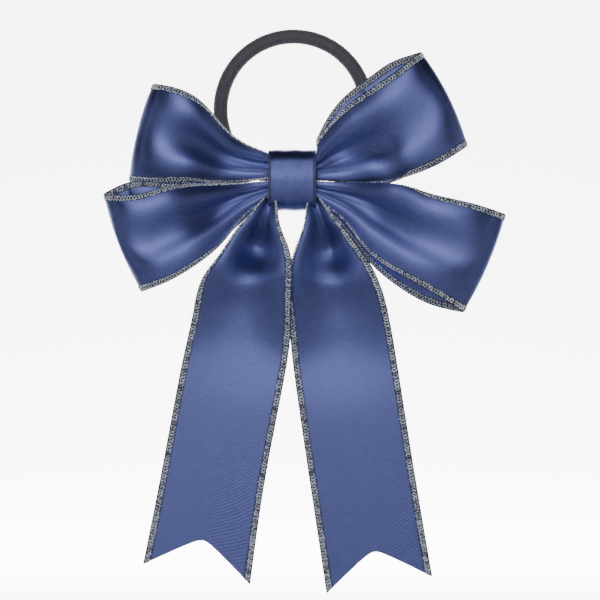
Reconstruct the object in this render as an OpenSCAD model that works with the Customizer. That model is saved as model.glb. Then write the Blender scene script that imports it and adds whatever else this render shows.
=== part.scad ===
// Hair bow of wide satin ribbon with silver edges, on a covered round hair elastic.
// The bow stands upright: X to the right, Z up, and the viewer on the -Y side.
// The origin is the middle of the knot's flat back face.

/* [Ribbon] */
// Width of the satin ribbon with both silver edges
ribbon_w = 32; // [31:0.5:33]
// Thickness of the satin
satin_t = 0.5; // [0.4:0.05:0.55]
// Width of each silver edge braid
braid_w = 2; // [1.6:0.1:2.4]
// Thickness of each silver edge braid
braid_t = 0.7; // [0.5:0.05:0.75]

/* [Loops] */
// Length of the upper left loop, knot to outer turn
upper_left_len = 40.5; // [39:0.5:42]
// Length of the lower left loop, knot to outer turn
lower_left_len = 47.8; // [46:0.2:49]
// Length of the upper right loop, knot to outer turn
upper_right_len = 44.6; // [43:0.2:46]
// Length of the lower right loop, knot to outer turn
lower_right_len = 56.5; // [55:0.5:58]

/* [Tails] */
// Length of the left tail, knot to the middle of its tips
left_tail_len = 115.3; // [105:0.1:120]
// Length of the right tail, knot to the middle of its tips
right_tail_len = 118.4; // [105:0.1:120]
// Depth of the swallow-tail notch
notch_depth = 10.4; // [6:0.2:14]

/* [Knot] */
// Width of the knot's ribbon, left to right
knot_w = 14.6; // [14.2:0.2:15]
// Height of the knot
knot_h = 18; // [18:0.5:20]
// Depth of the knot, front to back
knot_d = 15; // [15:0.5:16]
// Thickness of the knot's ribbon
knot_t = 0.6; // [0.5:0.05:0.7]
// Width of the woven selvedge on each side of the knot's ribbon
selvedge_w = 0.9; // [0.7:0.1:1.1]

/* [Hair elastic] */
// Radius of the ring, to the middle of the cord
ring_r = 22.6; // [22:0.1:23]
// Diameter of the fabric cover
cord_d = 4.5; // [4:0.1:4.6]
// Diameter of the rubber core
core_d = 3; // [2.4:0.1:3.2]

/* [Hidden] */
$fn = 48;
navy = [0.09, 0.12, 0.34];
silver = [0.78, 0.79, 0.83];
black = [0.07, 0.07, 0.09];

// Gap between pieces that lie side by side, and the end gap of pieces that move apart
seam = 0.14;
travel_gap = 0.3;

// Hair elastic: the ring's centre, and the straight run of cord through the knot
ring_x = 0.5;
ring_z = 22;
cord_y = -3.9;
cord_z = 2;
cord_ease = 0.3;
cord_lift = 0.03;
cord_rows = 77;
cord_sides = 16;
side_angle = 13;
side_end = side_angle - travel_gap / ring_r * 180 / PI;
hollow_d = core_d + 0.1;
ferrule_len = 8;

// Knot: the gathered ribbon inside the band
gather_w = 13.4;
gather_h = 15.7;
gather_front = 13.7;
gather_back = 7.2;
fold_r = 0.9;
thread_d = 0.5;
thread_r = 3.65;

// Ribbon: shares of the width, and the even columns across it
braid_share = braid_w / ribbon_w;
seam_share = seam / ribbon_w;
satin_columns = 10;
shares = concat(
    [0, braid_share - seam_share],
    [for (i = [0:satin_columns]) braid_share + (1 - 2 * braid_share) * i / satin_columns],
    [1 - braid_share + seam_share, 1]
);
// Steepest slope of a pleat, in degrees, and the share of the width that can curl at an edge
steepest = 80;
curl_share = 0.15;
loop_rows = 28;
tail_rows = 24;

// A loop is [root point, angle, length,
//   front leaf above and below its axis, rear leaf above and below its axis,
//   depth of its middle, half its thickness, each at six even steps from the knot to the turn,
//   [lean, crown of the front leaf, crown of the rear leaf, bow of the turn, pleats,
//    curl below, curl above, end of the curl]].
upper_left = [
    [-7, 4.6], 165.7, upper_left_len,
    [3.4, 4.3, 7.6, 13.2, 15.6, 15.5], [-4, -7, -9.3, -11, -13.8, -15.5],
    [3.3, 4, 7, 12.2, 14.8, 15.2], [-3.9, -7.8, -10.8, -12.4, -14.2, -15.3],
    [-10.6, -10.6, -11, -11.6, -11.8, -11.2], [1.8, 2.5, 4.2, 7.8, 12.5, 19],
    [4, 3.5, 1.5, 1.3, 1.43, 0, 0, 0.5]
];
lower_left = [
    [-7, -2.7], 200.8, lower_left_len,
    [2.4, 5.2, 8.7, 11.4, 12.3, 15.3], [-2.4, -4.6, -10.1, -13.6, -15.4, -15.7],
    [2.3, 4.6, 8.5, 12.6, 17, 17.5], [-2.5, -5.6, -9.4, -12.4, -14.4, -15.4],
    [-10.6, -11, -12.7, -15, -16, -15.8], [1.8, 2.4, 4.3, 7.5, 11.3, 19],
    [4, 2.6, 1, 1.3, 1.43, 0, 0, 0.5]
];
upper_right = [
    [7.1, 4.4], 26.9, upper_right_len,
    [3.5, 8.7, 11.9, 13.2, 14.5, 16], [-4.4, -9.7, -14, -16.1, -16.6, -15.8],
    [3.5, 10.6, 15, 16.8, 18, 17], [-4.6, -10.6, -14.8, -15.8, -16.2, -15.6],
    [-10.8, -11, -11.9, -12.8, -12.9, -12.4], [1.8, 2.4, 4.3, 7.6, 11.8, 19],
    [3, 3.5, 1.5, 1.5, 1.43, 140, 0, 0.62]
];
lower_right = [
    [7.1, -3], -23, lower_right_len,
    [2.6, 6.9, 11.1, 12.6, 14.6, 15.9], [-2.4, -4.8, -11, -13.5, -14.8, -16.2],
    [2.4, 6.2, 10.5, 12, 14, 15.7], [-2.4, -6.4, -13, -17, -18.6, -17.6],
    [-10.6, -11.2, -12.9, -15.1, -16, -15.8], [1.8, 2.4, 4.3, 7.4, 11.3, 19],
    [3.5, 2.6, 1, 1.2, 1.43, 0, 140, 0.6]
];

// A tail is [root point, angle, length,
//   stations [share of length, left edge, right edge, depth],
//   dents [x, z, reach in x, reach in z, rise towards the viewer]].
left_tail_shape = [
    [-8, -7.8], 259.35, left_tail_len,
    [
        [0, -0.9, 1, -13.6], [0.043, -5, 4.8, -16.2], [0.095, -8.2, 9, -15.8],
        [0.156, -11.2, 11.6, -15.2], [0.234, -15.2, 13, -14.4],
        [0.33, -16, 14.8, -13.6], [0.477, -16.5, 15.4, -13],
        [0.737, -16.5, 15.4, -13], [1, -16.8, 16.8, -13]
    ],
    [[-11, -20, 6, 6.5, -3], [-12, -30.5, 14, 5.5, 2.6], [-9, -44, 14, 7, -1.8]]
];
right_tail_shape = [
    [8.2, -7.8], -80.9, right_tail_len,
    [
        [0, -1, 0.9, -13.6], [0.042, -4.6, 5, -15.8], [0.093, -8.4, 8.2, -14.8],
        [0.152, -11.6, 11.8, -13.8], [0.228, -13.6, 14.8, -12.6],
        [0.321, -15, 16, -11.8], [0.465, -15.8, 16.2, -11.4],
        [0.718, -16.2, 16.2, -11.4], [1, -16.5, 16.5, -11.4]
    ],
    [[14, -20, 6, 6.5, -3], [13, -31, 14, 5.5, 2.4], [12, -46, 14, 7, -1.8]]
];
tail_tilt = -0.6;
// Curl of a tail's left edge, in degrees, and the shares of the length over which the curl
// and the folds from the knot fade out
tail_curl = 150;
curl_fade = [0.33, 0.17];
fold_fade = [0.45, 0.28];
notch_round = 2;
cut_start = 0.52;

// Smooth step from 0 to 1
function smooth(t) = let (k = max(0, min(1, t))) k * k * (3 - 2 * k);

// Smooth curve through evenly spaced values, t from 0 to 1
function curve(v, t) =
    let (
        n = len(v) - 1,
        p = max(0, min(1, t)) * n,
        i = min(floor(p), n - 1),
        f = p - i,
        b = v[i],
        c = v[i + 1],
        a = i > 0 ? v[i - 1] : 2 * b - c,
        d = i < n - 1 ? v[i + 2] : 2 * c - b
    )
    0.5 * (2 * b + (c - a) * f + (2 * a - 5 * b + 4 * c - d) * f * f
        + (3 * b - a - 3 * c + d) * f * f * f);

// How much of the edge curl reaches a share u of the width
function curl_reach(u) = u < curl_share ? pow(1 - u / curl_share, 2) : 0;

// Slope of the ribbon across its width: pleats, and curls at its low and high edges
function slope(u, swing, pleats, low, high) =
    swing * sin(360 * pleats * (u - 0.5)) + low * curl_reach(u) - high * curl_reach(1 - u);

// Cross-section of the ribbon gathered to a chord: [share of the chord, rise] at each share of the width
function section(chord, pleats, low, high, gain) =
    let (
        full = 2 * sqrt(2 * (1 - sqrt(min(1, chord / ribbon_w)))) * 180 / PI,
        swing = min(full, steepest) * gain,
        last = len(shares) - 1,
        path = [
            for (i = 0, p = [0, 0]; i <= last;
                 p = p + (i < last ? step(i, swing, pleats, low, high) : [0, 0]), i = i + 1) p
        ],
        across = [for (p = path) p[0]],
        rise = [for (p = path) p[1]],
        from = min(across),
        span = max(across) - from,
        level = (min(rise) + max(rise)) / 2
    )
    [for (p = path) [(p[0] - from) / span, (p[1] - level) * chord / span]];

// One step of the cross-section, from one column to the next
function step(i, swing, pleats, low, high) =
    let (
        width = shares[i + 1] - shares[i],
        angle = slope(shares[i] + width / 2, swing, pleats, low, high)
    )
    width * [cos(angle), sin(angle)];

// One row of points across a loop, at t from -1 (front, at the knot) over 0 (the turn) to 1 (rear)
function loop_row(loop, t) =
    let (
        reach = 1 - t * t,
        rear = smooth(t + 0.5),
        top = curve(loop[3], reach) * (1 - rear) + curve(loop[5], reach) * rear,
        bottom = curve(loop[4], reach) * (1 - rear) + curve(loop[6], reach) * rear,
        set = loop[9],
        curl = (1 - rear) * smooth((set[7] - reach) / 0.25),
        crown = (set[1] * (1 - rear) + set[2] * rear) * smooth(reach / 0.5),
        cut = section(top - bottom, set[4], set[5] * curl, set[6] * curl, 1 - 0.4 * rear),
        depth = curve(loop[7], reach) + t * curve(loop[8], reach),
        side = sign(cos(loop[1]))
    )
    [
        for (p = cut)
            let (
                w = bottom + (top - bottom) * p[0],
                bulge = 1 - pow(2 * p[0] - 1, 2),
                along = loop[2] * reach + set[3] * bulge * smooth((reach - 0.6) / 0.4)
            )
            [
                loop[0][0] + cos(loop[1]) * along - side * sin(loop[1]) * w * smooth(reach / 0.1),
                depth - p[1] - set[0] * smooth(reach / 0.4) * w / 16 + crown * (1 - bulge),
                loop[0][1] + sin(loop[1]) * along + side * cos(loop[1]) * w
            ]
    ];

// Rise of a tail's dents at a point of the front view
function dents(list, x, z) =
    len(list) == 0 ? 0
    : [for (d = list) d[4] * exp(-pow((x - d[0]) / d[2], 2) - pow((z - d[1]) / d[3], 2))]
        * [for (d = list) 1];

// Reach of the swallow-tail cut at a distance from the tail's middle, 0 at the notch and 1 at the tips
function cut_reach(w) =
    (sqrt(w * w + notch_round * notch_round) - notch_round)
    / (sqrt(16.5 * 16.5 + notch_round * notch_round) - notch_round);

// One row of points across a tail, at s from 0 (the knot) to 1 (the cut end)
function tail_row(tail, s) =
    let (
        at = curve(tail[3], s),
        curl = tail_curl * smooth((curl_fade[0] - at[0]) / curl_fade[1]),
        cut = section(at[2] - at[1], 1, curl, 0, smooth((fold_fade[0] - at[0]) / fold_fade[1]))
    )
    [
        for (p = cut)
            let (
                w = at[1] + (at[2] - at[1]) * p[0],
                short = notch_depth * (1 - cut_reach(w)) * smooth((at[0] - cut_start) / (1 - cut_start)),
                along = tail[2] * at[0] - short,
                x = tail[0][0] + cos(tail[1]) * along - sin(tail[1]) * w,
                z = tail[0][1] + sin(tail[1]) * along + cos(tail[1]) * w
            )
            [x, at[3] - p[1] - dents(tail[4], x, z) + tail_tilt * w / 16, z]
    ];

function loop_grid(loop) = [for (i = [0:loop_rows]) loop_row(loop, -1 + 2 * i / loop_rows)];
function tail_grid(tail) = [for (i = [0:tail_rows]) tail_row(tail, i / tail_rows)];

function unit(v) = v / norm(v);

// Surface normal of a grid of points at row i, column j
function grid_normal(g, i, j) =
    unit(cross(
        g[min(i + 1, len(g) - 1)][j] - g[max(i - 1, 0)][j],
        g[i][min(j + 1, len(g[0]) - 1)] - g[i][max(j - 1, 0)]
    ));

// Closed thin solid of the columns first to last of a grid
module cloth(grid, first, last, thickness) {
    rows = len(grid);
    cols = last - first + 1;
    half = thickness / 2;
    offsets = [
        for (i = [0:rows - 1]) [for (j = [first:last]) half * grid_normal(grid, i, j)]
    ];
    front = [for (i = [0:rows - 1]) for (j = [0:cols - 1]) grid[i][first + j] + offsets[i][j]];
    back = [for (i = [0:rows - 1]) for (j = [0:cols - 1]) grid[i][first + j] - offsets[i][j]];
    n = rows * cols;
    faces = concat(
        [for (i = [0:rows - 2]) for (j = [0:cols - 2]) for (f = quad(i, j, cols)) f],
        [for (i = [0:rows - 2]) for (j = [0:cols - 2]) for (f = quad(i, j, cols))
            [f[2] + n, f[1] + n, f[0] + n]],
        [for (i = [0:rows - 2]) for (f = rim(i * cols, (i + 1) * cols, n)) f],
        [for (i = [0:rows - 2]) for (f = rim((i + 2) * cols - 1, (i + 1) * cols - 1, n)) f],
        [for (j = [0:cols - 2]) for (f = rim(j + 1, j, n)) f],
        [for (j = [0:cols - 2]) for (f = rim((rows - 1) * cols + j, (rows - 1) * cols + j + 1, n)) f]
    );
    polyhedron(points = concat(front, back), faces = faces);
}

// Two triangles of a grid cell on the front
function quad(i, j, cols) =
    let (a = i * cols + j, b = a + 1, c = a + cols, d = c + 1)
    [[a, b, d], [a, d, c]];

// Two triangles of the rim between front points a, b and the back points under them
function rim(a, b, n) = [[a, b, b + n], [a, b + n, a + n]];

module satin(grid) {
    color(navy) cloth(grid, 2, len(shares) - 3, satin_t);
}

module low_braid(grid) {
    color(silver) cloth(grid, 0, 1, braid_t);
}

module high_braid(grid) {
    color(silver) cloth(grid, len(shares) - 2, len(shares) - 1, braid_t);
}

// Outline of the knot in Y and Z, rounder at the front than at the back
module knot_outline(inset, back) {
    front_r = 5 - inset;
    back_r = max(0.4, 3 - inset);
    top = knot_h / 2 - inset;
    front = knot_d - inset;
    rear = back + inset;
    union() {
        for (side = [-1, 1]) {
            translate([-front + front_r, side * (top - front_r)]) circle(r = front_r);
            translate([-rear - back_r, side * (top - back_r)]) circle(r = back_r);
        }
        translate([-front, -top + front_r]) square([front - rear, 2 * (top - front_r)]);
        translate([-front + front_r, -top]) square([front - rear - front_r - back_r, 2 * top]);
        translate([-rear - back_r - 1, -top + back_r]) square([back_r + 1, 2 * (top - back_r)]);
    }
}

// Slice of the knot's ribbon between two places in X, with its lapped end at the back
module knot_slice(from, to, thickness, lap) {
    translate([from, 0, 0]) rotate([90, 0, 90]) linear_extrude(to - from) {
        difference() {
            knot_outline(0, knot_t);
            knot_outline(thickness, knot_t);
        }
        if (lap) translate([-knot_t - 0.01, -5]) square([knot_t + 0.01, 11]);
    }
}

module knot_band() {
    color(navy) knot_slice(-knot_w / 2 + selvedge_w, knot_w / 2 - selvedge_w, knot_t, true);
}

module knot_left_selvedge() {
    color(navy) knot_slice(-knot_w / 2, -knot_w / 2 + selvedge_w - 0.05, knot_t - 0.1, false);
}

module knot_right_selvedge() {
    color(navy) knot_slice(knot_w / 2 - selvedge_w + 0.05, knot_w / 2, knot_t - 0.1, false);
}

// Rods along X that show the ribbon's folds where the loops and tails are drawn together
module gathered_centre() {
    depth = gather_front - gather_back;
    count = 8;
    pitch = (gather_h - 2 * fold_r) / (count - 1);
    color(navy) translate([-gather_w / 2, 0, 0]) rotate([90, 0, 90]) linear_extrude(gather_w) {
        translate([-gather_front + fold_r, -gather_h / 2 + 1.6])
            square([depth - 2 * fold_r, gather_h - 3.2]);
        for (i = [1:count - 2], y = [-gather_front + fold_r, -gather_back - fold_r])
            translate([y, -gather_h / 2 + fold_r + i * pitch]) circle(r = fold_r + 0.05);
        for (i = [0:3], z = [-1, 1])
            translate([-gather_front + 2 + i * 0.85, z * (gather_h / 2 - 1.6)]) circle(r = fold_r);
    }
}

// Outline of one turn of thread around the folds, in Y and Z
module thread_outline(r) {
    straight = 2 * (gather_h / 2 + thread_d / 2 - thread_r);
    square([2 * r, straight], center = true);
    for (side = [-1, 1]) translate([0, side * straight / 2]) circle(r = r);
}

// Four turns of thread that draw the folds together
module binding_thread() {
    color(navy) for (i = [0:3])
        translate([-1.2 + 0.8 * i - thread_d / 2, 0, 0]) rotate([90, 0, 90])
            linear_extrude(thread_d) translate([-(gather_front + gather_back) / 2, 0]) difference() {
                thread_outline(thread_r);
                thread_outline(thread_r - thread_d / 2);
            }
}

// A glue bead along X with round ends
module bead(y, z, r, length) {
    translate([0, y, z]) {
        rotate([0, 90, 0]) cylinder(r = r, h = length - 2 * r, center = true);
        for (end = [-1, 1]) translate([end * (length / 2 - r), 0, 0]) sphere(r = r);
    }
}

module glue_beads() {
    color([0.93, 0.9, 0.8]) {
        bead(-4.1, -4.2, 2.3, 11);
        bead(-4.1, 6.4, 1.3, 9);
    }
}

// Arc of cord about an axis along Y through [x, z], with angles counted from +X towards +Z
module cord_arc(x, z, radius, from, to, outer_d, inner_d) {
    translate([x, cord_y, z]) rotate([90, 0, 0]) rotate([0, 0, from]) rotate_extrude(angle = to - from)
        translate([radius, 0]) difference() {
            circle(d = outer_d);
            if (inner_d > 0) circle(d = inner_d);
        }
}

// Cord of the ring between two angles
module ring_arc(from, to, outer_d, inner_d) {
    cord_arc(ring_x, ring_z, ring_r, from, to, outer_d, inner_d);
}

// Middle of the cord that leads through the knot: the ring's circle, flattened at its bottom
function cord_point(angle) =
    let (over = ring_z + ring_r * sin(angle) - cord_z)
    [
        ring_x + ring_r * cos(angle), cord_y,
        cord_z + (over + sqrt(over * over + cord_ease)) / 2 - cord_lift
    ];

// Tube around the flattened cord from one side piece down to the other, hollow unless inner_d is 0
module cord_tube(outer_d, inner_d) {
    n = cord_sides;
    size = (cord_rows + 1) * n;
    points = [
        for (d = inner_d > 0 ? [outer_d, inner_d] : [outer_d]) for (i = [0:cord_rows])
            let (
                angle = 180 + side_angle + (180 - 2 * side_angle) * i / cord_rows,
                ahead = unit(cord_point(angle + 1) - cord_point(angle - 1))
            )
            for (k = [0:n - 1])
                cord_point(angle) + d / 2
                    * [-ahead[2] * cos(360 * k / n), sin(360 * k / n), ahead[0] * cos(360 * k / n)]
    ];
    outside = [
        for (i = [0:cord_rows - 1]) for (k = [0:n - 1])
            let (a = i * n + k, b = i * n + (k + 1) % n) for (f = [[a, b, b + n], [a, b + n, a + n]]) f
    ];
    inside = [for (f = outside) [f[2] + size, f[1] + size, f[0] + size]];
    end = cord_rows * n;
    hollow_ends = [
        for (k = [0:n - 1])
            let (j = (k + 1) % n)
            for (f = [
                [j, k, k + size], [j, k + size, j + size],
                [end + k, end + j, end + j + size], [end + k, end + j + size, end + k + size]
            ]) f
    ];
    full_ends = [
        for (k = [1:n - 2]) for (f = [[0, k + 1, k], [end, end + k, end + k + 1]]) f
    ];
    polyhedron(
        points = points,
        faces = inner_d > 0 ? concat(outside, inside, hollow_ends) : concat(outside, full_ends)
    );
}

module elastic_cover_lower() {
    color(black) cord_tube(cord_d, hollow_d);
}

module elastic_cover_left() {
    color(black) ring_arc(180 - side_end, 180 + side_end, cord_d, hollow_d);
}

module elastic_cover_right() {
    color(black) ring_arc(-side_end, side_end, cord_d, hollow_d);
}

module elastic_cover_upper() {
    color(black) ring_arc(side_angle, 180 - side_angle, cord_d, hollow_d);
}

module elastic_core_lower() {
    color("dimgray") cord_tube(core_d, 0);
}

module elastic_core_left() {
    color("dimgray") ring_arc(180 - side_end, 180 + side_end, core_d, 0);
}

module elastic_core_right() {
    color("dimgray") ring_arc(-side_end, side_end, core_d, 0);
}

module elastic_core_upper() {
    color("dimgray") ring_arc(side_angle, 180 - side_angle, core_d, 0);
}

// Crimped sleeve that joins the two ends of the elastic inside the knot
module elastic_ferrule() {
    color(silver) translate([-ferrule_len / 2, cord_y, cord_z]) rotate([0, 90, 0]) difference() {
        cylinder(d = cord_d + 0.6, h = ferrule_len);
        translate([0, 0, -1]) cylinder(d = cord_d + 0.02, h = ferrule_len + 2);
    }
}

module upper_left_loop() { satin(loop_grid(upper_left)); }
module lower_left_loop() { satin(loop_grid(lower_left)); }
module upper_right_loop() { satin(loop_grid(upper_right)); }
module lower_right_loop() { satin(loop_grid(lower_right)); }
module left_tail() { satin(tail_grid(left_tail_shape)); }
module right_tail() { satin(tail_grid(right_tail_shape)); }
module upper_left_top_braid() { high_braid(loop_grid(upper_left)); }
module upper_left_bottom_braid() { low_braid(loop_grid(upper_left)); }
module lower_left_top_braid() { high_braid(loop_grid(lower_left)); }
module lower_left_bottom_braid() { low_braid(loop_grid(lower_left)); }
module upper_right_top_braid() { high_braid(loop_grid(upper_right)); }
module upper_right_bottom_braid() { low_braid(loop_grid(upper_right)); }
module lower_right_top_braid() { high_braid(loop_grid(lower_right)); }
module lower_right_bottom_braid() { low_braid(loop_grid(lower_right)); }
module left_tail_outer_braid() { low_braid(tail_grid(left_tail_shape)); }
module left_tail_inner_braid() { high_braid(tail_grid(left_tail_shape)); }
module right_tail_inner_braid() { low_braid(tail_grid(right_tail_shape)); }
module right_tail_outer_braid() { high_braid(tail_grid(right_tail_shape)); }

upper_left_loop();
lower_left_loop();
upper_right_loop();
lower_right_loop();
left_tail();
right_tail();
upper_left_top_braid();
upper_left_bottom_braid();
lower_left_top_braid();
lower_left_bottom_braid();
upper_right_top_braid();
upper_right_bottom_braid();
lower_right_top_braid();
lower_right_bottom_braid();
left_tail_outer_braid();
left_tail_inner_braid();
right_tail_inner_braid();
right_tail_outer_braid();
gathered_centre();
binding_thread();
glue_beads();
knot_band();
knot_left_selvedge();
knot_right_selvedge();
elastic_cover_lower();
elastic_cover_left();
elastic_cover_right();
elastic_cover_upper();
elastic_core_lower();
elastic_core_left();
elastic_core_right();
elastic_core_upper();
elastic_ferrule();
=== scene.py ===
"""Looks of a navy satin hair bow on a covered hair elastic, built around its CAD frame.

The bow stands upright: X to the right, Z up, and the viewer on the -Y side. Lengths in the
surface formulas are in millimetres; a mesh is scaled to metres when it is built.
"""

from __future__ import annotations

import logging
import math
from dataclasses import dataclass
from enum import Enum

import bpy
import numpy as np
from numpy.typing import NDArray
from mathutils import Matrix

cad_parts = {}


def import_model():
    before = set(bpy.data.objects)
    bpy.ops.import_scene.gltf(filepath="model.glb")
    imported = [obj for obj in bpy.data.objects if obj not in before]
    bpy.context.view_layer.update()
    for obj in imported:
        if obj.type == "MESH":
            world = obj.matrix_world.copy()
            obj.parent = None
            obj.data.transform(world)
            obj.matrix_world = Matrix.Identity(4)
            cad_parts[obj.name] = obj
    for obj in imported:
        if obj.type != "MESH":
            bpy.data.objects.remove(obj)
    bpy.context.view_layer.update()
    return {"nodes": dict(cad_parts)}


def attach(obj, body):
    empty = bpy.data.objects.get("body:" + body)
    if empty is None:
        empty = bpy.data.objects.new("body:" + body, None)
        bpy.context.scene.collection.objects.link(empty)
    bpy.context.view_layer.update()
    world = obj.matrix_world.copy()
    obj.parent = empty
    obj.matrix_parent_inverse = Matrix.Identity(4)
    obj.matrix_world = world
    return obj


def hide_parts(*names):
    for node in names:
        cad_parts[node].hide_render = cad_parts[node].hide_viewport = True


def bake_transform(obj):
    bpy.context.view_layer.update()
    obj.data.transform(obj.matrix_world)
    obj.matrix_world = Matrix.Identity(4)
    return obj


Array = NDArray[np.float64]
log = logging.getLogger("hair_bow")

MM = 0.001
RIBBON_WIDTH = 32.0
BRAID_WIDTH = 2.0
SATIN_THICKNESS = 0.5
STEEPEST_SLOPE = math.radians(80.0)
CURL_SHARE = 0.15
TAIL_CURL = math.radians(150.0)
TIP_REACH = 16.5
NOTCH_ROUND = 2.0
ROOT_RISE = 2.0
KNOT_HALF_DEPTH = 6.9
KNOT_HALF_HEIGHT = 9.1
KNOT_HALF_WIDTH = 7.3
RING_RADIUS = 22.6
FINE_COLUMNS = 320
BRAID_SHARE = BRAID_WIDTH / RIBBON_WIDTH
BRAID_LAP = 0.2 / RIBBON_WIDTH


class Slot(Enum):
    """Material slots of the record."""

    SATIN = "navy_satin"
    BRAID = "silver_braid"
    KNOT = "knot_satin"
    SELVEDGE = "knot_selvedge"
    THREAD = "sewing_thread"
    GLUE = "hot_melt_glue"
    COVER = "elastic_cover"
    RUBBER = "elastic_rubber"
    CRIMP = "crimp_metal"


class Edge(Enum):
    """The two silver edges of a ribbon, by the share of its width where they lie."""

    LOW = (0.0, BRAID_SHARE + BRAID_LAP)
    HIGH = (1.0 - BRAID_SHARE - BRAID_LAP, 1.0)


def smooth(t: Array | float) -> Array:
    """Smooth step from 0 to 1: 3 t squared minus 2 t cubed, with t held between 0 and 1."""
    k = np.clip(t, 0.0, 1.0)
    return k * k * (3.0 - 2.0 * k)


def curve(values: tuple, t: Array) -> Array:
    """Smooth curve through evenly spaced values.

    It is the natural cubic spline: its slope and its bend are continuous, and the bend is
    nothing at both ends. The bends solve the usual three-term equations.

    Args:
        values: numbers, or rows of numbers, at even steps of t from 0 to 1.
        t: places to read, from 0 to 1.

    Returns:
        The value or row at each place.
    """
    v = np.asarray(values, float)
    spans = len(v) - 1
    system = np.eye(spans + 1)
    inner = np.arange(1, spans)
    system[inner, inner] = 4.0
    system[inner, inner - 1] = system[inner, inner + 1] = 1.0
    jumps = np.zeros_like(v)
    jumps[1:-1] = 6 * (v[2:] - 2 * v[1:-1] + v[:-2])
    bend = np.linalg.solve(system, jumps)
    place = np.clip(t, 0.0, 1.0) * spans
    i = np.minimum(place.astype(int), spans - 1)
    f = place - i
    if v.ndim > 1:
        f = f[..., None]
    g = 1 - f
    return g * v[i] + f * v[i + 1] + ((g**3 - g) * bend[i] + (f**3 - f) * bend[i + 1]) / 6


@dataclass(frozen=True)
class Folds:
    """Pleats and edge curls of a ribbon's cross-section, one value for each row.

    Attributes:
        chord: straight distance from edge to edge, in millimetres.
        pleats: number of pleats across the width.
        low_curl: extra slope at the low edge, in radians.
        high_curl: extra slope at the high edge, in radians.
        gain: share of the full pleat slope.
    """

    chord: Array
    pleats: float
    low_curl: Array
    high_curl: Array
    gain: Array

    def at(self, shares: Array) -> tuple[Array, Array]:
        """Cross-section of the ribbon gathered to its chord.

        The slope swings as a sine of the share of the width, with an amplitude of twice the
        root of twice the lost share of the width, softly held below the steepest slope, and
        squared curls added near both edges.
        Adding up the cosines and sines of the slope gives the place and the rise.

        Args:
            shares: shares of the width to read, one row of them for each row.

        Returns:
            The share of the chord and the rise in millimetres at each place.
        """
        u = (np.arange(FINE_COLUMNS) + 0.5) / FINE_COLUMNS
        ratio = np.clip(self.chord / RIBBON_WIDTH, 0.02, 1.0)
        full = 2 * np.sqrt(2 * (1 - np.sqrt(ratio)))
        swing = full / (1 + (full / STEEPEST_SLOPE) ** 8) ** (1 / 8) * self.gain
        low = np.where(u < CURL_SHARE, (1 - u / CURL_SHARE) ** 2, 0.0)
        slope = swing[:, None] * np.sin(2 * np.pi * self.pleats * (u - 0.5))
        slope = slope + self.low_curl[:, None] * low - self.high_curl[:, None] * low[::-1]
        start = np.zeros((len(ratio), 1))
        across = np.concatenate([start, np.cumsum(np.cos(slope), 1)], 1) / FINE_COLUMNS
        rise = np.concatenate([start, np.cumsum(np.sin(slope), 1)], 1) / FINE_COLUMNS
        low_end = across.min(1, keepdims=True)
        span = across.max(1, keepdims=True) - low_end
        rise = rise - (rise.min(1, keepdims=True) + rise.max(1, keepdims=True)) / 2
        place = np.clip(shares, 0.0, 1.0) * FINE_COLUMNS
        i = np.minimum(place.astype(int), FINE_COLUMNS - 1)
        f = place - i
        rows = np.arange(len(ratio))[:, None]
        across = across[rows, i] * (1 - f) + across[rows, i + 1] * f
        rise = rise[rows, i] * (1 - f) + rise[rows, i + 1] * f
        return (across - low_end) / span, rise / span * self.chord[:, None]


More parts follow.
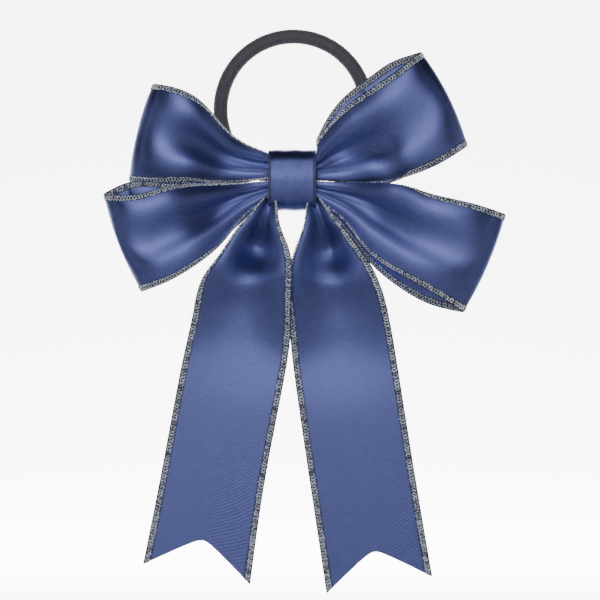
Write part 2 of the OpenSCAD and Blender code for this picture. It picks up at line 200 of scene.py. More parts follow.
@dataclass(frozen=True)
class Loop:
    """A loop of ribbon, from the knot out to its turn and back behind itself.

    Its parameter runs from -1 (front leaf, at the knot) over 0 (the turn) to 1 (rear leaf).
    The reach is 1 minus the parameter squared. Each table holds six values at even steps of
    the reach, in millimetres.

    Attributes:
        root: X and Z of the loop's axis at the knot.
        angle: direction of the axis in the front view, in degrees.
        length: from the knot to the turn.
        front_top, front_bottom: edges of the front leaf, above and below the axis.
        rear_top, rear_bottom: the same for the rear leaf.
        middle: depth of the loop's middle.
        half: half of the loop's thickness from front leaf to rear leaf.
        lean: tilt of the leaves over half a ribbon's width.
        crown, rear_crown: how much nearer the viewer the middle of the width is than the
            edges, on the front and the rear leaf.
        bow: how much further out the middle of the turn is.
        low_curl, high_curl: extra slope at the edges, in degrees.
        curl_end: the reach where the curls have faded away.
        ripple: height of the fine folds next to the knot.
    """

    root: tuple[float, float]
    angle: float
    length: float
    front_top: tuple[float, ...]
    front_bottom: tuple[float, ...]
    rear_top: tuple[float, ...]
    rear_bottom: tuple[float, ...]
    middle: tuple[float, ...]
    half: tuple[float, ...]
    lean: float
    crown: float
    rear_crown: float
    bow: float
    low_curl: float
    high_curl: float
    curl_end: float
    ripple: float = 0.22

    @property
    def start(self) -> float:
        """The parameter's first value."""
        return -1.0

    def points(self, t: Array, shares: Array) -> Array:
        """Points of the surface.

        Along the axis a point lies at length times reach, plus a bow at the turn. Across, it
        lies between the leaf's edges at its share of the chord. Its depth is the middle plus
        the parameter times the half thickness, less the rise of the cross-section and the
        lean, plus the crown and fine folds that fade away from the knot.

        Args:
            t: the parameter for each row.
            shares: shares of the width, one row of them for each row.

        Returns:
            An array of rows by columns by three, in millimetres.
        """
        reach = 1 - t * t
        rear = smooth(t + 0.5)
        top = curve(self.front_top, reach) * (1 - rear) + curve(self.rear_top, reach) * rear
        bottom = curve(self.front_bottom, reach) * (1 - rear)
        bottom = bottom + curve(self.rear_bottom, reach) * rear
        curl = (1 - rear) * smooth((self.curl_end - reach) / 0.25)
        folds = Folds(
            chord=top - bottom,
            pleats=1.43,
            low_curl=math.radians(self.low_curl) * curl,
            high_curl=math.radians(self.high_curl) * curl,
            gain=1 - 0.4 * rear,
        )
        share, rise = folds.at(shares)
        w = bottom[:, None] + (top - bottom)[:, None] * share
        r = reach[:, None]
        bulge = 1 - (2 * share - 1) ** 2
        along = self.length * r + self.bow * bulge * smooth((r - 0.6) / 0.4)
        ahead = np.array([math.cos(math.radians(self.angle)), math.sin(math.radians(self.angle))])
        across = math.copysign(1.0, ahead[0]) * np.array([-ahead[1], ahead[0]])
        depth = (curve(self.middle, reach) + t * curve(self.half, reach))[:, None]
        depth = depth - rise - self.lean * smooth(r / 0.4) * w / 16
        crown = (self.crown * (1 - rear) + self.rear_crown * rear)[:, None]
        depth = depth + crown * (1 - bulge) * smooth(r / 0.5)
        fine = np.sin(2 * np.pi * (5.3 * shares + 0.6 * r))
        fine = fine + 0.6 * np.sin(2 * np.pi * (9.1 * shares - r) + 1.7)
        depth = depth + self.ripple * fine * smooth(r / 0.06) * smooth((0.62 - r) / 0.5) * bulge
        x = self.root[0] + ahead[0] * along + across[0] * w * smooth(r / 0.1)
        z = self.root[1] + ahead[1] * along + across[1] * w
        return np.stack([x, depth, z], -1)


@dataclass(frozen=True)
class Dent:
    """A soft dent or swelling of a tail: its X and Z, its reach in each, and its rise."""

    x: float
    z: float
    reach_x: float
    reach_z: float
    rise: float


@dataclass(frozen=True)
class Tail:
    """A hanging tail of ribbon with a swallow-tail cut.

    Its parameter runs from 0 (the knot) to 1 (the cut end).

    Attributes:
        root: X and Z of the tail's axis at the knot; the cloth starts a little higher.
        angle: direction of the axis in the front view, in degrees.
        length: from the knot to the middle of the tips.
        stations: rows at even steps of the parameter, each with the share of the length, the
            left and right edges beside the axis, and the depth.
        dents: soft dents of the cloth.
        notch: depth of the swallow-tail cut.
        tilt: how far one edge stands nearer than the middle.
        ripple: height of the fine folds below the knot.
    """

    root: tuple[float, float]
    angle: float
    length: float
    stations: tuple[tuple[float, ...], ...]
    dents: tuple[Dent, ...]
    notch: float = 10.4
    tilt: float = -0.6
    ripple: float = 0.16

    @property
    def start(self) -> float:
        """The parameter's first value."""
        return 0.0

    def points(self, t: Array, shares: Array) -> Array:
        """Points of the surface.

        Across, a point lies between the left and right edges at its share of the chord. Along
        the axis it lies at its station's share of the length, shortened by the swallow-tail
        cut, which is deepest on the axis and rounded at the notch. At the root it starts a
        little higher and leans inwards, behind the knot. The folds and the curl of the left
        edge fade out down the tail. Its depth is the station's less the rise of the
        cross-section and the dents, plus a slight tilt and fine folds.

        Args:
            t: the parameter for each row.
            shares: shares of the width, one row of them for each row.

        Returns:
            An array of rows by columns by three, in millimetres.
        """
        station = curve(self.stations, t)
        place, left, right, depth = station.T
        curl = TAIL_CURL * smooth((0.33 - place) / 0.17)
        fade = smooth((0.45 - place) / 0.28)
        share, rise = Folds(right - left, 1.0, curl, np.zeros_like(t), fade).at(shares)
        w = left[:, None] + (right - left)[:, None] * share
        tip = math.hypot(TIP_REACH, NOTCH_ROUND) - NOTCH_ROUND
        cut = 1 - (np.hypot(w, NOTCH_ROUND) - NOTCH_ROUND) / tip
        along = self.length * place[:, None] - self.notch * cut * smooth((place[:, None] - 0.52) / 0.48)
        along = along - ROOT_RISE * (1 - smooth(place[:, None] / 0.05))
        a = math.radians(self.angle)
        inward = 0.12 * self.root[0] * (1 - smooth(place[:, None] / 0.08))
        x = self.root[0] - inward + math.cos(a) * along - math.sin(a) * w
        z = self.root[1] + math.sin(a) * along + math.cos(a) * w
        y = depth[:, None] - rise + self.tilt * w / 16
        for dent in self.dents:
            away = ((x - dent.x) / dent.reach_x) ** 2 + ((z - dent.z) / dent.reach_z) ** 2
            y = y - dent.rise * np.exp(-away)
        s = place[:, None]
        fine = np.sin(2 * np.pi * (5.1 * shares + 2 * s)) + 0.6 * np.sin(2 * np.pi * (8.7 * shares) + 1.1)
        y = y + self.ripple * fine * smooth(s / 0.02) * smooth((0.22 - s) / 0.18)
        return np.stack([x, y, z], -1)


Ribbon = Loop | Tail

LOOPS: dict[str, Loop] = {
    "upper_left": Loop(
        root=(-7.0, 4.6), angle=165.7, length=40.5,
        front_top=(3.4, 4.3, 7.6, 13.2, 15.6, 15.5), front_bottom=(-4, -7, -9.3, -11, -13.8, -15.5),
        rear_top=(3.3, 4, 7, 12.2, 14.8, 15.2), rear_bottom=(-3.9, -7.8, -10.8, -12.4, -14.2, -15.3),
        middle=(-10.6, -10.6, -11, -11.6, -11.8, -11.2), half=(1.8, 2.5, 4.2, 7.8, 12.5, 19),
        lean=4, crown=3.5, rear_crown=1.5, bow=1.3, low_curl=0, high_curl=0, curl_end=0.5,
    ),
    "lower_left": Loop(
        root=(-7.0, -2.7), angle=200.8, length=47.8,
        front_top=(2.4, 5.2, 8.7, 11.4, 12.3, 15.3), front_bottom=(-2.4, -4.6, -10.1, -13.6, -15.4, -15.7),
        rear_top=(2.3, 4.6, 8.5, 12.6, 17, 17.5), rear_bottom=(-2.5, -5.6, -9.4, -12.4, -14.4, -15.4),
        middle=(-10.6, -11, -12.7, -15, -16, -15.8), half=(1.8, 2.4, 4.3, 7.5, 11.3, 19),
        lean=4, crown=2.6, rear_crown=1, bow=1.3, low_curl=0, high_curl=0, curl_end=0.5,
    ),
    "upper_right": Loop(
        root=(7.1, 4.4), angle=26.9, length=44.6,
        front_top=(3.5, 8.7, 11.9, 13.2, 14.5, 16), front_bottom=(-4.4, -9.7, -14, -16.1, -16.6, -15.8),
        rear_top=(3.5, 10.6, 15, 16.8, 18, 17), rear_bottom=(-4.6, -10.6, -14.8, -15.8, -16.2, -15.6),
        middle=(-10.8, -11, -11.9, -12.8, -12.9, -12.4), half=(1.8, 2.4, 4.3, 7.6, 11.8, 19),
        lean=3, crown=3.5, rear_crown=1.5, bow=1.5, low_curl=140, high_curl=0, curl_end=0.62,
    ),
    "lower_right": Loop(
        root=(7.1, -3.0), angle=-23, length=56.5,
        front_top=(2.6, 6.9, 11.1, 12.6, 14.6, 15.9), front_bottom=(-2.4, -4.8, -11, -13.5, -14.8, -16.2),
        rear_top=(2.4, 6.2, 10.5, 12, 14, 15.7), rear_bottom=(-2.4, -6.4, -13, -17, -18.6, -17.6),
        middle=(-10.6, -11.2, -12.9, -15.1, -16, -15.8), half=(1.8, 2.4, 4.3, 7.4, 11.3, 19),
        lean=3.5, crown=2.6, rear_crown=1, bow=1.2, low_curl=0, high_curl=140, curl_end=0.6,
    ),
}

TAILS: dict[str, Tail] = {
    "left_tail": Tail(
        root=(-8.0, -7.8), angle=259.35, length=115.3,
        stations=(
            (0, -1.6, 1.7, -13.6), (0.043, -5, 4.8, -16.2), (0.095, -8.2, 9, -15.8),
            (0.156, -11.2, 11.6, -15.2), (0.234, -15.2, 13, -14.4),
            (0.33, -16, 14.8, -13.6), (0.477, -16.5, 15.4, -13),
            (0.737, -16.5, 15.4, -13), (1, -16.8, 16.8, -13),
        ),
        dents=(Dent(-11, -20, 6, 6.5, -3), Dent(-12, -30.5, 14, 5.5, 2.6), Dent(-9, -50, 18, 12, -1.9)),
    ),
    "right_tail": Tail(
        root=(8.2, -7.8), angle=-80.9, length=118.4,
        stations=(
            (0, -1.7, 1.6, -13.6), (0.042, -4.6, 5, -15.8), (0.093, -8.4, 8.2, -14.8),
            (0.152, -11.6, 11.8, -13.8), (0.228, -13.6, 14.8, -12.6),
            (0.321, -15, 16, -11.8), (0.465, -15.8, 16.2, -11.4),
            (0.718, -16.2, 16.2, -11.4), (1, -16.5, 16.5, -11.4),
        ),
        dents=(Dent(14, -20, 6, 6.5, -3), Dent(13, -31, 14, 5.5, 2.4), Dent(12, -52, 18, 12, -1.9)),
    ),
}


def unit(v: Array) -> Array:
    """Vectors of length 1 in the same directions."""
    return v / np.maximum(np.linalg.norm(v, axis=-1, keepdims=True), 1e-12)


def grid_normals(grid: Array) -> Array:
    """Unit normals of a grid: the cross product of its steps down the rows and across."""
    return unit(np.cross(np.gradient(grid, axis=0), np.gradient(grid, axis=1)))


def even_parameters(ribbon: Ribbon, share: float, count: int) -> tuple[Array, Array]:
    """Parameters at even distances along a ribbon.

    Args:
        ribbon: the surface.
        share: the share of the width whose line is measured.
        count: number of places, both ends among them.

    Returns:
        The parameters, and the distance to each in millimetres.
    """
    t = np.linspace(ribbon.start, 1.0, 900)
    line = ribbon.points(t, np.full((len(t), 1), share))[:, 0]
    steps = np.linalg.norm(np.diff(line, axis=0), axis=1)
    distance = np.concatenate([[0.0], np.cumsum(steps)])
    places = np.linspace(0.0, distance[-1], count)
    return np.interp(places, distance, t), places


@dataclass(frozen=True)
class Shell:
    """A closed surface.

    Attributes:
        vertices: points, in millimetres.
        faces: quads as rows of four vertex numbers.
        uv: millimetres along and across the cloth, one pair for each vertex.
        finish: number of the shell's material on its object.
    """

    vertices: Array
    faces: NDArray[np.int64]
    uv: Array
    finish: int = 0

    def outward(self) -> Shell:
        """The same shell with its faces turned outwards, by the sign of its volume."""
        a, b, c, d = (self.vertices[self.faces[:, k]] for k in range(4))
        centre = self.vertices.mean(0)
        one = np.einsum("ij,ij->i", a - centre, np.cross(b - centre, c - centre))
        two = np.einsum("ij,ij->i", a - centre, np.cross(c - centre, d - centre))
        if float((one + two).sum()) >= 0:
            return self
        return Shell(self.vertices, self.faces[:, ::-1], self.uv, self.finish)


def strip_quads(first: NDArray[np.int64], second: NDArray[np.int64]) -> NDArray[np.int64]:
    """Quads between two lines of vertex numbers."""
    return np.stack([first[:-1], first[1:], second[1:], second[:-1]], -1)


def slab(grid: Array, thickness: float, uv: Array, finish: int = 0) -> Shell:
    """Closed thin solid around a grid: the grid moved half the thickness along its normals
    to either side, joined by rims.

    Args:
        grid: rows by columns by three, in millimetres.
        thickness: in millimetres.
        uv: rows by columns by two.
        finish: number of the shell's material on its object.

    Returns:
        The solid.
    """
    rows, cols = grid.shape[:2]
    offset = grid_normals(grid) * thickness / 2
    n = rows * cols
    number = np.arange(n).reshape(rows, cols)
    corners = (number[:-1, :-1], number[:-1, 1:], number[1:, 1:], number[1:, :-1])
    front = np.stack(corners, -1).reshape(-1, 4)
    rims = [
        strip_quads(number[:, 0], number[:, 0] + n),
        strip_quads(number[::-1, -1], number[::-1, -1] + n),
        strip_quads(number[0, ::-1], number[0, ::-1] + n),
        strip_quads(number[-1], number[-1] + n),
    ]
    faces = np.concatenate([front, front[:, ::-1] + n, *rims])
    vertices = np.concatenate([(grid + offset).reshape(n, 3), (grid - offset).reshape(n, 3)])
    return Shell(vertices, faces, np.tile(uv.reshape(n, 2), (2, 1)), finish).outward()


def tube(path: Array, side: Array, up: Array, closed: bool, finish: int = 0) -> Shell:
    """Tube around a path: each ring is the path's point plus the distance times the cosine of
    the angle along the first direction and times its sine along the second.

    Args:
        path: points, in millimetres.
        side: for each point and each place around, the distance along its first direction.
        up: for each point, two directions across the path, as an array of points by two by
            three.
        closed: whether the path meets itself.
        finish: number of the shell's material on its object.

    Returns:
        The tube, with ends closed by quads that share the centre of the end.
    """
    count, around = side.shape
    angle = np.arange(around) * 2 * np.pi / around
    ring = side[..., None] * np.cos(angle)[None, :, None] * up[:, None, 0]
    ring = ring + side[..., None] * np.sin(angle)[None, :, None] * up[:, None, 1]
    vertices = (path[:, None] + ring).reshape(-1, 3)
    number = np.arange(count * around).reshape(count, around)
    beside = np.roll(number, -1, axis=1)
    after, after_beside = np.roll(number, -1, axis=0), np.roll(beside, -1, axis=0)
    last = count if closed else count - 1
    quads = np.stack([number, beside, after_beside, after], -1)[:last].reshape(-1, 4)
    steps = np.linalg.norm(np.diff(path, axis=0), axis=1)
    distance = np.concatenate([[0.0], np.cumsum(steps)])
    girth = angle / (2 * np.pi)
    uv = np.stack(np.meshgrid(distance, girth, indexing="ij"), -1).reshape(-1, 2)
    if not closed:
        half = around // 2
        for row, turn in ((0, 1), (count - 1, -1)):
            loop = number[row]
            cap = [
                (loop[k], loop[k + 1], loop[around - k - 2], loop[around - k - 1])
                for k in range(half - 1)
            ]
            quads = np.concatenate([quads, np.array(cap)[:, ::turn]])
    return Shell(vertices, quads, uv, finish).outward()


class Studio:
    """Materials, lights, backdrop and camera."""

    def __init__(self) -> None:
        """Starts with no materials."""
        self.made: dict[Slot, bpy.types.Material] = {}

    @staticmethod
    def _blank(name: str) -> tuple[bpy.types.Material, bpy.types.Node]:
        """A new node material and its principled shader."""
        material = bpy.data.materials.new(name)
        material.use_nodes = True
        return material, material.node_tree.nodes["Principled BSDF"]

    @staticmethod
    def _set(shader: bpy.types.Node, **values: float | tuple) -> None:
        """Sets sockets of a shader; an underscore in a name stands for a space."""
        for name, value in values.items():
            shader.inputs[name.replace("_", " ")].default_value = value

    def plain(
        self, slot: Slot, colour: tuple, roughness: float, metallic: float = 0.0
    ) -> bpy.types.Material:
        """A plain material.

        Args:
            slot: the record's slot.
            colour: linear red, green, blue and alpha.
            roughness: of the surface.
            metallic: from 0 to 1.

        Returns:
            The material.
        """
        material, shader = self._blank(slot.value)
        self._set(shader, Base_Color=colour, Roughness=roughness, Metallic=metallic)
        self.made[slot] = material
        return material

    def satin(self, slot: Slot, colour: tuple, sheen: tuple, weave: float) -> bpy.types.Material:
        """Satin: a dark dye under a coloured gloss that is longer across the ribbon.

        Fine twill lines and stretched noise, on its own UV map in millimetres, vary the
        brightness and the bump.

        Args:
            slot: the record's slot.
            colour: dye in the dark threads.
            sheen: colour of the gloss where it faces the light.
            weave: strength of the weave's bump.

        Returns:
            The material.
        """
        material, shader = self._blank(slot.value)
        tree = material.node_tree
        nodes, links = tree.nodes, tree.links
        uv = nodes.new("ShaderNodeUVMap")
        uv.uv_map = "cloth"
        stretch = nodes.new("ShaderNodeMapping")
        stretch.inputs["Scale"].default_value = (2.2, 0.35, 1.0)
        links.new(uv.outputs["UV"], stretch.inputs["Vector"])
        threads = nodes.new("ShaderNodeTexNoise")
        threads.inputs["Scale"].default_value = 1.0
        threads.inputs["Detail"].default_value = 3.0
        threads.inputs["Roughness"].default_value = 0.6
        links.new(stretch.outputs["Vector"], threads.inputs["Vector"])
        twill = nodes.new("ShaderNodeTexWave")
        twill.wave_type = "BANDS"
        twill.bands_direction = "DIAGONAL"
        twill.inputs["Scale"].default_value = 0.62
        twill.inputs["Distortion"].default_value = 0.5
        twill.inputs["Detail"].default_value = 2.0
        links.new(uv.outputs["UV"], twill.inputs["Vector"])
        blend = nodes.new("ShaderNodeMix")
        blend.data_type = "FLOAT"
        blend.inputs["Factor"].default_value = 0.35
        links.new(threads.outputs["Fac"], blend.inputs["A"])
        links.new(twill.outputs["Fac"], blend.inputs["B"])
        ramp = nodes.new("ShaderNodeMapRange")
        ramp.inputs["To Min"].default_value = 0.7
        ramp.inputs["To Max"].default_value = 1.25
        links.new(blend.outputs["Result"], ramp.inputs["Value"])
        tint = nodes.new("ShaderNodeVectorMath")
        tint.operation = "SCALE"
        tint.inputs[0].default_value = sheen[:3]
        links.new(ramp.outputs["Result"], tint.inputs["Scale"])
        links.new(tint.outputs["Vector"], shader.inputs["Base Color"])
        bump = nodes.new("ShaderNodeBump")
        bump.inputs["Strength"].default_value = weave
        bump.inputs["Distance"].default_value = 0.00012
        links.new(blend.outputs["Result"], bump.inputs["Height"])
        links.new(bump.outputs["Normal"], shader.inputs["Normal"])
        tangent = nodes.new("ShaderNodeTangent")
        tangent.direction_type = "UV_MAP"
        tangent.uv_map = "cloth"
        links.new(tangent.outputs["Tangent"], shader.inputs["Tangent"])
        self._set(shader, Roughness=0.5, Metallic=0.97, Anisotropic=0.8, Anisotropic_Rotation=0.25)
        self._set(shader, Sheen_Weight=0.02, Sheen_Roughness=0.4, Sheen_Tint=colour)
        self.made[slot] = material
        return material

    def sparkle(self) -> bpy.types.Material:
        """Silver wire of the edges, with painted glints: noise along it brightens and darkens its colour.
        """
        material, shader = self._blank("silver_wire")
        nodes, links = material.node_tree.nodes, material.node_tree.links
        uv = nodes.new("ShaderNodeUVMap")
        uv.uv_map = "cloth"
        # Painted glints: this noise brightens stretches of the wire's colour into glints, and its dark
        # stretches stand in for the chain's dark gaps.
        glint_noise = nodes.new("ShaderNodeTexNoise")
        glint_noise.inputs["Scale"].default_value = 1.3
        glint_noise.inputs["Detail"].default_value = 4.0
        links.new(uv.outputs["UV"], glint_noise.inputs["Vector"])
        ramp = nodes.new("ShaderNodeMapRange")
        ramp.inputs["From Min"].default_value = 0.38
        ramp.inputs["From Max"].default_value = 0.54
        ramp.inputs["To Min"].default_value = 0.08
        ramp.inputs["To Max"].default_value = 1.0
        links.new(glint_noise.outputs["Fac"], ramp.inputs["Value"])
        tint = nodes.new("ShaderNodeVectorMath")
        tint.operation = "SCALE"
        tint.inputs[0].default_value = (0.84, 0.89, 1.0)
        links.new(ramp.outputs["Result"], tint.inputs["Scale"])
        links.new(tint.outputs["Vector"], shader.inputs["Base Color"])
        self._set(shader, Roughness=0.3, Metallic=0.2, Specular_IOR_Level=1.0)
        return material

    def prepare(self) -> None:
        """Makes every material of the record."""
        navy, gloss = (0.02, 0.03, 0.14, 1.0), (0.13, 0.15, 0.385, 1.0)
        self.satin(Slot.SATIN, navy, gloss, 0.35)
        self.satin(Slot.KNOT, navy, gloss, 0.3)
        self.plain(Slot.BRAID, (0.012, 0.018, 0.06, 1.0), 0.6)
        self.plain(Slot.SELVEDGE, (0.03, 0.04, 0.13, 1.0), 0.55, 0.2)
        self.plain(Slot.THREAD, (0.01, 0.012, 0.05, 1.0), 0.8)
        self.plain(Slot.GLUE, (0.85, 0.8, 0.66, 1.0), 0.3)
        self.plain(Slot.RUBBER, (0.35, 0.3, 0.22, 1.0), 0.7)
        self.plain(Slot.CRIMP, (0.6, 0.6, 0.62, 1.0), 0.35, 1.0)
        cover = self.plain(Slot.COVER, (0.06, 0.056, 0.072, 1.0), 0.7)
        self._set(cover.node_tree.nodes["Principled BSDF"], Sheen_Weight=0.35, Sheen_Roughness=0.5)

    def light(self, name: str, place: tuple, target: tuple, size: float, watts: float) -> None:
        """A square soft box.

        Args:
            name: of the light.
            place: where it stands.
            target: what it points at.
            size: length of its side, in metres.
            watts: its power.
        """
        data = bpy.data.lights.new(name, "AREA")
        data.size = size
        data.energy = watts
        box = bpy.data.objects.new(name, data)
        box.location = place
        towards = np.array(target) - np.array(place)
        flat = math.hypot(towards[0], towards[1])
        box.rotation_euler = (math.atan2(flat, -towards[2]), 0.0, math.atan2(-towards[0], towards[1]))
        bpy.context.scene.collection.objects.link(box)

    def stage(self) -> None:
        """Camera, soft boxes, and a pale floor that sweeps up into a backdrop."""
        data = bpy.data.cameras.new("camera")
        data.sensor_width = 36.0
        data.lens = 312.0
        data.clip_end = 20.0
        camera = bpy.data.objects.new("camera", data)
        camera.location = (0.00246, -1.612, -0.0369)
        camera.rotation_euler = (math.pi / 2, 0.0, 0.0)
        bpy.context.scene.collection.objects.link(camera)
        bpy.context.scene.camera = camera
        self.light("key_box", (-0.12, -1.45, 0.3), (0.0, 0.0, -0.03), 0.7, 8.6)
        self.light("top_box", (-0.1, -1.0, 0.85), (0.0, 0.0, -0.03), 0.5, 4.0)
        self.light("left_box", (-1.2, -0.5, 0.2), (0.0, 0.0, -0.03), 0.4, 0.9)
        self.light("right_box", (1.2, -0.4, 0.3), (0.0, 0.0, -0.03), 0.4, 0.7)
        self.light("backdrop_box", (0.0, 0.9, 1.0), (0.0, 2.4, 0.0), 1.2, 320.0)
        self.backdrop()

    def backdrop(self) -> None:
        """Floor and wall joined by a quarter round: straight, a circle's quarter, straight."""
        radius, floor, wall = 2.0, -0.165, 3.5
        turn = np.linspace(0.0, math.pi / 2, 24)
        y = np.concatenate([[-1.6], wall - radius + radius * np.sin(turn), [wall]])
        z = np.concatenate([[floor], floor + radius - radius * np.cos(turn), [3.0]])
        line = np.stack([np.zeros_like(y), y, z], -1)
        left, right = line + (-4.0, 0.0, 0.0), line + (4.0, 0.0, 0.0)
        n = len(line)
        mesh = bpy.data.meshes.new("floor")
        number = np.arange(n)
        faces = strip_quads(number, number + n)[:, ::-1]
        mesh.from_pydata(np.concatenate([left, right]).tolist(), [], faces.tolist())
        mesh.polygons.foreach_set("use_smooth", np.ones(len(mesh.polygons), bool))
        material, shader = self._blank("pale_floor")
        self._set(shader, Base_Color=(0.9, 0.9, 0.9, 1.0), Roughness=0.9)
        mesh.materials.append(material)
        floor_object = bpy.data.objects.new("floor", mesh)
        bpy.context.scene.collection.objects.link(floor_object)
        world = bpy.data.worlds.new("soft_world")
        world.use_nodes = True
        world.node_tree.nodes["Background"].inputs["Color"].default_value = (0.8, 0.85, 1.0, 1.0)
        world.node_tree.nodes["Background"].inputs["Strength"].default_value = 0.03
        bpy.context.scene.world = world


class Bow:
    """The pieces of the bow."""

    def __init__(self, studio: Studio) -> None:
        """Keeps the studio, whose materials the pieces wear."""
        self.studio = studio
        self.wire = studio.sparkle()

    def build(self, name: str, shells: list[Shell], slot: Slot, extra: tuple = ()) -> bpy.types.Object:
        """Joins shells into one object.

        Args:
            name: of the piece.
            shells: closed surfaces.
            slot: the piece's own material, its number 0.
            extra: more materials, numbered from 1.

        Returns:
            The object, in place and in metres.
        """
        starts = np.cumsum([0] + [len(s.vertices) for s in shells])[:-1]
        vertices = np.concatenate([s.vertices for s in shells]) * MM
        faces = np.concatenate([s.faces + k for s, k in zip(shells, starts)])
        uv = np.concatenate([s.uv for s in shells])
        finish = np.concatenate([np.full(len(s.faces), s.finish) for s in shells])
        mesh = bpy.data.meshes.new(name)
        mesh.from_pydata(vertices.tolist(), [], faces.tolist())
        mesh.polygons.foreach_set("use_smooth", np.ones(len(faces), bool))
        mesh.polygons.foreach_set("material_index", finish.astype(np.int32))
        corner = np.zeros(len(mesh.loops), np.int32)
        mesh.loops.foreach_get("vertex_index", corner)
        layer = mesh.uv_layers.new(name="cloth")
        layer.data.foreach_set("uv", uv[corner].astype(np.float32).ravel())
        for material in (self.studio.made[slot], *extra):
            mesh.materials.append(material)
        mesh.validate()
        mesh.set_sharp_from_angle(angle=math.radians(60))
        piece = bpy.data.objects.new(name, mesh)
        bpy.context.scene.collection.objects.link(piece)
        return piece

    def cloth(self, ribbon: Ribbon, shares: Array, rows: int, thickness: float) -> tuple[Shell, float]:
        """Cloth between two shares of the width, with rows at even distances.

        Args:
            ribbon: the surface.
            shares: shares of the width for the columns.
            rows: number of rows.
            thickness: in millimetres.

        Returns:
            The solid, and the length of the cloth along its middle in millimetres.
        """
        t, places = even_parameters(ribbon, 0.5, rows)
        grid = ribbon.points(t, np.tile(shares, (rows, 1)))
        uv = np.stack(np.meshgrid(places, shares * RIBBON_WIDTH, indexing="ij"), -1)
        return slab(grid, thickness, uv), float(places[-1])

    def stitch(self, ribbon: Ribbon, edge: Edge, phase: float) -> Shell:
        """One silver wire of an edge: a line that swings from side to side of the edge as a
        sine of the distance, lifts over and under its partner, and shows on both faces.

        Args:
            ribbon: the surface.
            edge: which edge.
            phase: of the swing, in turns.

        Returns:
            The wire.
        """
        low, high = edge.value
        middle, reach = (low + high) / 2, (high - low) / 2
        pitch, wire = 1.9, 0.15
        length = even_parameters(ribbon, middle, 2)[1][-1]
        count = int(length / pitch * 14)
        t, places = even_parameters(ribbon, middle, count)
        turn = 2 * np.pi * (places / pitch + phase)
        jitter = 0.12 * np.sin(places * 3.7 + 9 * phase) + 0.1 * np.sin(places * 1.3)
        share = middle + reach * (0.66 * np.sin(turn) + 0.5 * jitter)
        step = 0.25 / RIBBON_WIDTH
        fan = np.stack([share - step, share, share + step], 1)
        grid = ribbon.points(t, fan)
        path = grid[:, 1]
        normal = unit(np.cross(np.gradient(path, axis=0), grid[:, 2] - grid[:, 0]))
        return self._wire(path, normal, wire, np.cos(turn * 2 + np.pi * phase))

    @staticmethod
    def _wire(path: Array, normal: Array, radius: float, lift: Array) -> Shell:
        """A flattened wire beside a surface.

        Args:
            path: points on the surface.
            normal: the surface's normals.
            radius: of the wire, in millimetres.
            lift: from -1 to 1, how the wire rises over the others.

        Returns:
            The wire.
        """
        return tube(
            path + normal * (lift * 0.08)[:, None],
            np.tile(radius * np.array([1.5, 1.9, 2.7, 1.9, 1.5, 1.9, 2.7, 1.9]), (len(path), 1)),
            np.stack([unit(np.cross(np.gradient(path, axis=0), normal)), normal], 1),
            closed=False,
            finish=1,
        )

    def braid(self, name: str, ribbon: Ribbon, edge: Edge, rows: int) -> bpy.types.Object:
        """A silver edge: a dark woven strip with two silver wires in a chain.

        Args:
            name: of the piece and of the CAD node it stands for.
            ribbon: the surface.
            edge: which edge.
            rows: number of rows of the strip.

        Returns:
            The piece.
        """
        strip, _ = self.cloth(ribbon, np.linspace(*edge.value, 7), rows, 0.5)
        wires = [self.stitch(ribbon, edge, phase) for phase in (0.0, 0.5)]
        piece = self.build(f"{name}_detail", [strip, *wires], Slot.BRAID, (self.wire,))
        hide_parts(name)
        return piece

    def ribbons(self) -> None:
        """Every loop and tail with its two silver edges."""
        satin_shares = np.linspace(BRAID_SHARE, 1 - BRAID_SHARE, 73)
        for name, ribbon in LOOPS.items():
            shell, length = self.cloth(ribbon, satin_shares, 190, SATIN_THICKNESS)
            piece = self.build(f"{name}_loop_cloth", [shell], Slot.SATIN)
            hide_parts(f"{name}_loop")
            braids = [
                self.braid(f"{name}_{word}_braid", ribbon, edge, 190)
                for word, edge in (("top", Edge.HIGH), ("bottom", Edge.LOW))
            ]
            for each in (piece, *braids):
                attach(each, "bow")
            self.declare(piece, length, "folded", braids)
        words = {"left_tail": ("outer", "inner"), "right_tail": ("inner", "outer")}
        for name, ribbon in TAILS.items():
            shell, length = self.cloth(ribbon, satin_shares, 200, SATIN_THICKNESS)
            piece = self.build(f"{name}_cloth", [shell], Slot.SATIN)
            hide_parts(name)
            braids = [
                self.braid(f"{name}_{word}_braid", ribbon, edge, 200)
                for word, edge in zip(words[name], (Edge.LOW, Edge.HIGH))
            ]
            for each in (piece, *braids):
                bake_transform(each)
            self.declare(piece, length, "hung", braids)

    @staticmethod
    def declare(piece: bpy.types.Object, length: float, held: str, braids: list) -> None:
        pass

    def knot(self) -> None:
        """The knot's ribbon and its two selvedges."""
        for name, first, last, slot in (
            ("knot_band", -6.4, 6.4, Slot.KNOT),
            ("knot_left_selvedge", -7.3, -6.45, Slot.SELVEDGE),
            ("knot_right_selvedge", 6.45, 7.3, Slot.SELVEDGE),
        ):
            columns = np.linspace(first, last, 49 if slot is Slot.KNOT else 9)
            grid, girth = self.knot_grid(columns)
            shell = self.band(grid, girth, columns, 0.6 if slot is Slot.KNOT else 0.5)
            piece = self.build(f"{name}_cloth", [shell], slot)
            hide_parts(name)
            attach(piece, "bow")

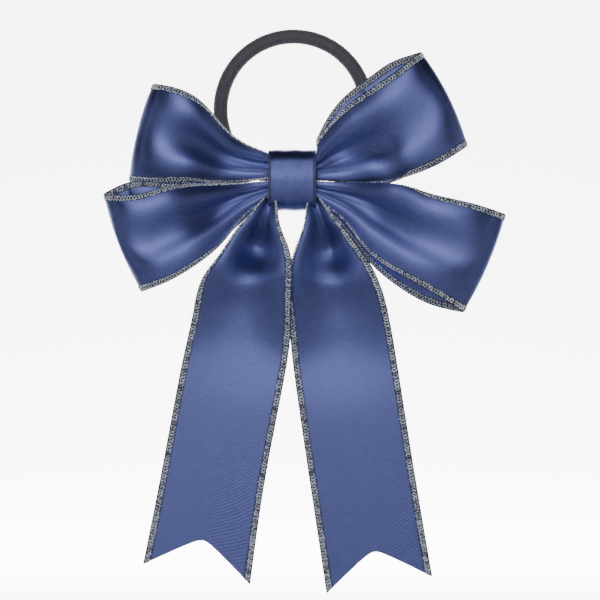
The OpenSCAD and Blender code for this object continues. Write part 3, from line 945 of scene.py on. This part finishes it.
    @staticmethod
    def knot_grid(columns: Array) -> tuple[Array, Array]:
        """Middle surface of the knot's ribbon.

        In Y and Z its outline is a rounded box, from a superellipse whose power is 4.2. Its
        front is crowned both ways by parabolas, and shallow folds run up and down it.

        Args:
            columns: places in X, in millimetres.

        Returns:
            Rows around by columns by three, and the distance around at each row.
        """
        angle = np.linspace(0.0, 2 * np.pi, 161)[:-1]
        power = 2 / 4.2
        c, s = np.cos(angle), np.sin(angle)
        y = -7.8 - KNOT_HALF_DEPTH * np.sign(c) * np.abs(c) ** power
        z = KNOT_HALF_HEIGHT * np.sign(s) * np.abs(s) ** power
        front = smooth((c + 0.1) / 0.6)[:, None]
        x = np.tile(columns, (len(angle), 1))
        crown = 0.35 * (1 - (x / KNOT_HALF_WIDTH) ** 2)
        crown = crown + 1.8 * (1 - (z[:, None] / KNOT_HALF_HEIGHT) ** 2)
        fold = 0.05 * np.sin(x * 0.9 + 0.22 * z[:, None])
        fold = fold + 0.04 * np.sin(x * 1.9 - 0.35 * z[:, None] + 1)
        depth = y[:, None] - front * (crown + fold - 0.25)
        bend = 0.008 * np.sin(1.1 * x + 0.5) - 0.012 * (x / KNOT_HALF_WIDTH) ** 2
        height = z[:, None] * (1 + bend)
        grid = np.stack([x, depth, height], -1)
        steps = np.hypot(np.diff(y, append=y[:1]), np.diff(z, append=z[:1]))
        return grid, np.cumsum(steps)

    @staticmethod
    def band(grid: Array, girth: Array, columns: Array, thickness: float) -> Shell:
        """Closed thin band: a grid whose last row meets its first, moved half the thickness
        along its normals to either side.

        Args:
            grid: rows around by columns by three.
            girth: distance around at each row.
            columns: places in X.
            thickness: in millimetres.

        Returns:
            The band.
        """
        rows, cols = grid.shape[:2]
        ahead = np.roll(grid, -1, axis=0) - np.roll(grid, 1, axis=0)
        offset = unit(np.cross(ahead, np.gradient(grid, axis=1))) * thickness / 2
        n = rows * cols
        number = np.arange(n).reshape(rows, cols)
        after = np.roll(number, -1, axis=0)
        corners = (number[:, :-1], number[:, 1:], after[:, 1:], after[:, :-1])
        front = np.stack(corners, -1).reshape(-1, 4)
        low = np.stack([number[:, 0], after[:, 0], after[:, 0] + n, number[:, 0] + n], -1)
        high = np.stack([after[:, -1], number[:, -1], number[:, -1] + n, after[:, -1] + n], -1)
        faces = np.concatenate([front, front[:, ::-1] + n, low, high])
        vertices = np.concatenate([(grid + offset).reshape(n, 3), (grid - offset).reshape(n, 3)])
        uv = np.stack(np.meshgrid(girth, columns, indexing="ij"), -1).reshape(n, 2)
        return Shell(vertices, faces, np.tile(uv, (2, 1))).outward()

    def elastic(self) -> None:
        """The elastic's knitted cover and rubber core, each one ring."""
        for name, radius, knit, around, count, slot in (
            ("elastic_cover", 2.2, 0.11, 60, 1500, Slot.COVER),
            ("elastic_core", 1.5, 0.0, 20, 300, Slot.RUBBER),
        ):
            path = self.elastic_path(count)
            ahead = unit(np.roll(path, -1, axis=0) - np.roll(path, 1, axis=0))
            depth = np.tile([0.0, 1.0, 0.0], (count, 1))
            turn = np.arange(around) * 2 * np.pi / around
            along = np.arange(count)[:, None] / count * 2 * np.pi * 70
            pattern = np.sin(6 * turn[None] + along) * np.sin(6 * turn[None] - along)
            side = radius + knit * pattern
            shell = tube(path, side, np.stack([np.cross(ahead, depth), depth], 1), closed=True)
            piece = self.build(f"{name}_ring", [shell], slot)
            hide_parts(*(f"{name}_{word}" for word in ("lower", "left", "right", "upper")))
            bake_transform(piece)

    @staticmethod
    def elastic_path(count: int) -> Array:
        """Middle of the elastic's cord: a circle whose bottom is flattened inside the knot.

        The height is the circle's, raised to the straight run's height by a smooth maximum,
        a softened absolute value of the difference.

        Args:
            count: number of points.

        Returns:
            The points, in millimetres.
        """
        angle = np.arange(count) * 2 * np.pi / count
        x = 0.5 + RING_RADIUS * np.cos(angle)
        z = 22 + RING_RADIUS * np.sin(angle)
        over = z - 2.0
        z = 2.0 + (over + np.sqrt(over**2 + 0.3)) / 2 - 0.03
        return np.stack([x, np.full(count, -3.9), z], -1)

    def hidden_pieces(self, nodes: dict) -> None:
        """Materials for the CAD pieces that stay: glue, thread, ferrule and gathered folds."""
        for name, slot in (
            ("gathered_centre", Slot.SATIN),
            ("binding_thread", Slot.THREAD),
            ("glue_beads", Slot.GLUE),
            ("elastic_ferrule", Slot.CRIMP),
        ):
            nodes[name].data.materials.clear()
            nodes[name].data.materials.append(self.studio.made[slot])


def main() -> None:
    """Builds the scene."""
    logging.basicConfig(level=logging.INFO)
    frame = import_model()
    studio = Studio()
    studio.stage()
    studio.prepare()
    bow = Bow(studio)
    bow.ribbons()
    bow.knot()
    bow.elastic()
    bow.hidden_pieces(frame["nodes"])


if __name__ == "__main__":
    main()
